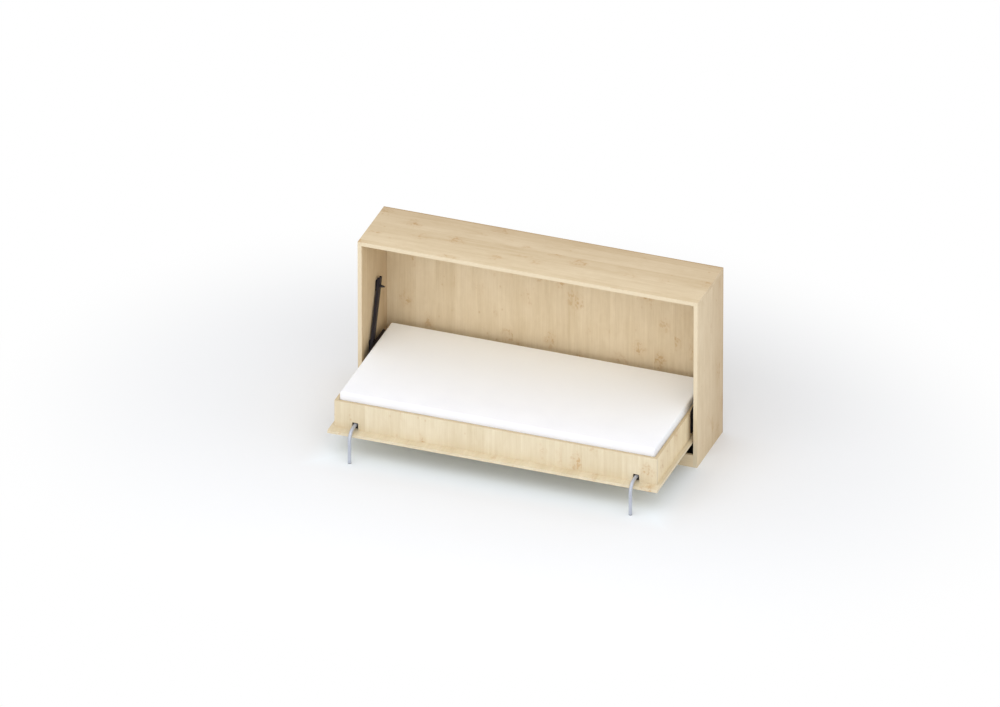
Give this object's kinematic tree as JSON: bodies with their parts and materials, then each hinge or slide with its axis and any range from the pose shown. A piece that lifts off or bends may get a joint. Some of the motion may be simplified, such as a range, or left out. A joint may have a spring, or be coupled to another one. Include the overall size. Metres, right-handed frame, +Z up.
{
  "type": "cabinet bed",
  "caption": "Low wide cabinet with a single bed that tips down out of it about an axle near the floor and stands on two bent legs.",
  "frame": {"origin": "middle of the open bed's footprint, on the floor", "axes": "+X to the right along the cabinet, +Y towards the wall behind it, +Z up; the rest pose is the open bed"},
  "size_m": [2.15, 1.1184, 1.13],
  "materials": {
    "maple_board": "satin laminate with a light maple grain",
    "beech": "planed and lacquered",
    "zinc_steel": "zinc plated",
    "black_steel": "black powder coat",
    "chromed_rod": "polished",
    "black_plastic": "fine moulded grain",
    "silver_paint": "silver-grey powder coat",
    "grey_plastic": "moulded",
    "mattress_cover": "plain white cover"
  },
  "bodies": {
    "cabinet": {"cabinet_side_left": "maple_board", "cabinet_side_right": "maple_board", "cabinet_top": "maple_board", "cabinet_plinth": "maple_board", "back_panel": "maple_board", "wall_rail": "maple_board", "floor_rail": "maple_board", "cabinet_dowels": "beech", "cam_bolts": "zinc_steel", "cam_discs": "zinc_steel", "pivot_plate_left": "black_steel", "pivot_plate_right": "black_steel", "pivot_plate_screws": "black_steel", "pivot_pins": "zinc_steel", "strut_bracket_left": "black_steel", "strut_bracket_right": "black_steel", "strut_bracket_screws": "black_steel", "strut_pins": "zinc_steel", "strut_spacers": "black_steel", "strut_knob_left": "black_plastic", "strut_knob_right": "black_plastic"},
    "bed": {"front_panel": "maple_board", "box_front_board": "maple_board", "box_rear_board": "maple_board", "box_head_board": "maple_board", "box_foot_board": "maple_board", "box_dowels": "beech", "panel_angles": "zinc_steel", "panel_angle_screws": "zinc_steel", "slat_rail_front": "beech", "slat_rail_rear": "beech", "slat_rail_screws": "zinc_steel", "slat_holders": "black_plastic", "slats": "beech", "mattress": "mattress_cover", "bed_bracket_left": "black_steel", "bed_bracket_right": "black_steel", "bed_bracket_screws": "black_steel", "pivot_bushes": "black_plastic", "leg_guides": "black_plastic", "leg_guide_screws": "zinc_steel"},
    "strut_left": {"strut_channel_left": "black_steel", "gas_cylinder_left": "black_steel"},
    "strut_slider_left": {"gas_rod_left": "chromed_rod", "strut_slider_left": "black_steel", "strut_stud_left": "black_steel"},
    "leg_carrier_left": {"leg_slide_block_left": "black_plastic"},
    "leg_left": {"leg_tube_left": "silver_paint", "leg_foot_left": "grey_plastic", "leg_collars_left": "silver_paint"},
    "strut_right": {"strut_channel_right": "black_steel", "gas_cylinder_right": "black_steel"},
    "strut_slider_right": {"gas_rod_right": "chromed_rod", "strut_slider_right": "black_steel", "strut_stud_right": "black_steel"},
    "leg_carrier_right": {"leg_slide_block_right": "black_plastic"},
    "leg_right": {"leg_tube_right": "silver_paint", "leg_foot_right": "grey_plastic", "leg_collars_right": "silver_paint"}
  },
  "joints": [
    {"name": "bed_fold", "type": "hinge", "parent": "cabinet", "child": "bed", "pos_m": [0, 0.26925, 0.322], "axis": [-1, 0, 0], "range_deg": [0, 90]},
    {"name": "strut_left_swing", "type": "hinge", "parent": "cabinet", "child": "strut_left", "pos_m": [-1.04, 0.35425, 0.702], "axis": [-1, 0, 0], "range_deg": [0, 11.28]},
    {"name": "strut_left_slide", "type": "slide", "parent": "strut_left", "child": "strut_slider_left", "axis": [0, 0.33, 0.944], "range_m": [0, 0.1517]},
    {"name": "leg_left_slide", "type": "slide", "parent": "bed", "child": "leg_carrier_left", "axis": [0, 1, 0], "range_m": [0, 0.056]},
    {"name": "leg_left_turn", "type": "hinge", "parent": "leg_carrier_left", "child": "leg_left", "pos_m": [-0.888, -0.5, 0.207], "axis": [0, -1, 0], "range_deg": [0, 180]},
    {"name": "strut_right_swing", "type": "hinge", "parent": "cabinet", "child": "strut_right", "pos_m": [1.04, 0.35425, 0.702], "axis": [-1, 0, 0], "range_deg": [0, 11.28]},
    {"name": "strut_right_slide", "type": "slide", "parent": "strut_right", "child": "strut_slider_right", "axis": [0, 0.33, 0.944], "range_m": [0, 0.1517]},
    {"name": "leg_right_slide", "type": "slide", "parent": "bed", "child": "leg_carrier_right", "axis": [0, 1, 0], "range_m": [0, 0.056]},
    {"name": "leg_right_turn", "type": "hinge", "parent": "leg_carrier_right", "child": "leg_right", "pos_m": [0.888, -0.5, 0.207], "axis": [0, 1, 0], "range_deg": [0, 180]}
  ],
  "couplings": [
    {"joint": "strut_left_swing", "follows": "bed_fold", "ratio": 0.12526},
    {"joint": "strut_left_slide", "follows": "bed_fold", "m_per_rad": 0.096568},
    {"joint": "leg_left_slide", "follows": "bed_fold", "m_per_rad": 0.035651},
    {"joint": "leg_left_turn", "follows": "bed_fold", "ratio": 2},
    {"joint": "strut_right_swing", "follows": "bed_fold", "ratio": 0.12526},
    {"joint": "strut_right_slide", "follows": "bed_fold", "m_per_rad": 0.096568},
    {"joint": "leg_right_slide", "follows": "bed_fold", "m_per_rad": 0.035651},
    {"joint": "leg_right_turn", "follows": "bed_fold", "ratio": 2}
  ]
}
